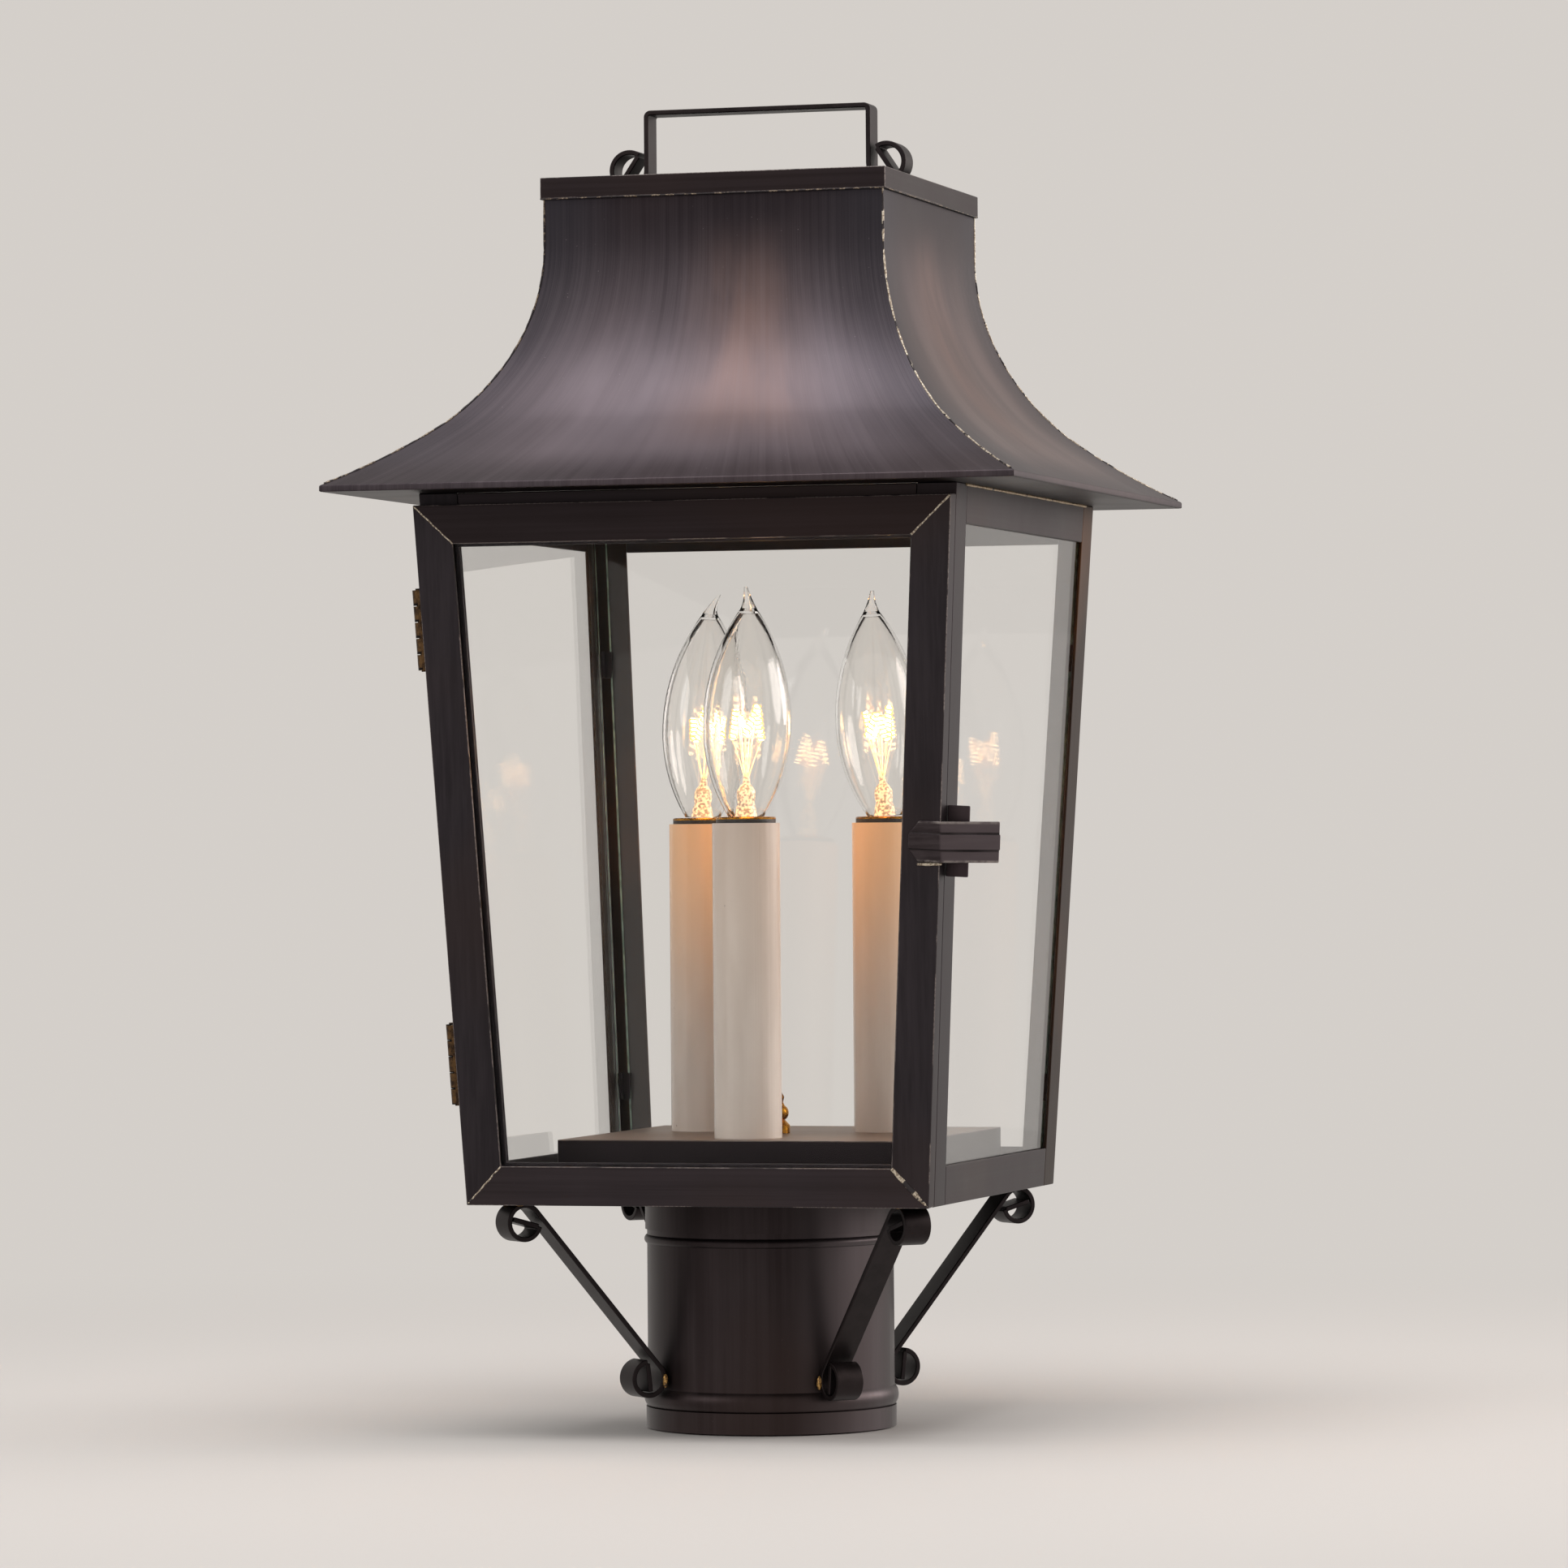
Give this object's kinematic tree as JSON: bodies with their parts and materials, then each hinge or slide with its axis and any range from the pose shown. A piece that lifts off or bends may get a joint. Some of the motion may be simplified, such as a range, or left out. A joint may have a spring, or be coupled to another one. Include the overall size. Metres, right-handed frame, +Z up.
{
  "type": "post top lantern",
  "caption": "Square tapered glazed lantern with a flared roof, strap handle, hinged door, candle bulbs, scroll braces and a round fitter for a lamp post.",
  "frame": {"origin": "centre of the fitter's lower rim, on the post's axis", "axes": "+Z up the post, the door faces -Y, the latch is towards +X"},
  "size_m": [0.2286, 0.2286, 0.434],
  "materials": {
    "dark_metal": "dark antique patina, satin",
    "window_glass": "clear",
    "bulb_glass": "clear",
    "sleeve": "ivory",
    "socket": "matte",
    "brass": "satin",
    "filament": "glowing",
    "steel": "plated",
    "plastic_cap": "moulded",
    "lead_jacket": "insulated wire"
  },
  "bodies": {
    "lantern": {"bottom_rail_back": "dark_metal", "bottom_rail_front": "dark_metal", "bottom_rail_left": "dark_metal", "bottom_rail_right": "dark_metal", "brace_back_left": "dark_metal", "brace_back_right": "dark_metal", "brace_front_left": "dark_metal", "brace_front_right": "dark_metal", "bulb_bases": "brass", "bulb_filaments": "filament", "bulb_glass_front": "bulb_glass", "bulb_glass_left": "bulb_glass", "bulb_glass_right": "bulb_glass", "candle_pan": "dark_metal", "candle_sleeve_front": "sleeve", "candle_sleeve_left": "sleeve", "candle_sleeve_right": "sleeve", "cap": "dark_metal", "centre_rod": "steel", "corner_post_back_left": "dark_metal", "corner_post_back_right": "dark_metal", "corner_post_front_left": "dark_metal", "corner_post_front_right": "dark_metal", "finial": "brass", "fitter": "dark_metal", "floor_plate": "dark_metal", "glass_back": "window_glass", "glass_clips": "dark_metal", "glass_left": "window_glass", "glass_right": "window_glass", "handle": "dark_metal", "hinge_frame_leaves": "brass", "keeper_plate": "dark_metal", "rod_nut": "steel", "roof_back": "dark_metal", "roof_front": "dark_metal", "roof_left": "dark_metal", "roof_right": "dark_metal", "set_screws": "steel", "socket_front": "socket", "socket_leads": "lead_jacket", "socket_left": "socket", "socket_right": "socket", "socket_stands": "steel", "soffit": "dark_metal", "stand_nuts": "steel", "top_rail_back": "dark_metal", "top_rail_front": "dark_metal", "top_rail_left": "dark_metal", "top_rail_right": "dark_metal", "wire_nuts": "plastic_cap"},
    "door": {"door_rail_bottom": "dark_metal", "door_stile_right": "dark_metal", "door_rail_top": "dark_metal", "door_stile_left": "dark_metal", "door_glass": "window_glass", "door_retainer": "dark_metal", "hinge_door_leaves": "brass", "hinge_pins": "brass", "latch_strap": "dark_metal"}
  },
  "joints": [
    {"name": "door_hinge", "type": "hinge", "parent": "lantern", "child": "door", "pos_m": [-0.0847, -0.08245, 0.17556], "axis": [0.055, 0.055, -0.997], "range_deg": [0, 110]}
  ]
}
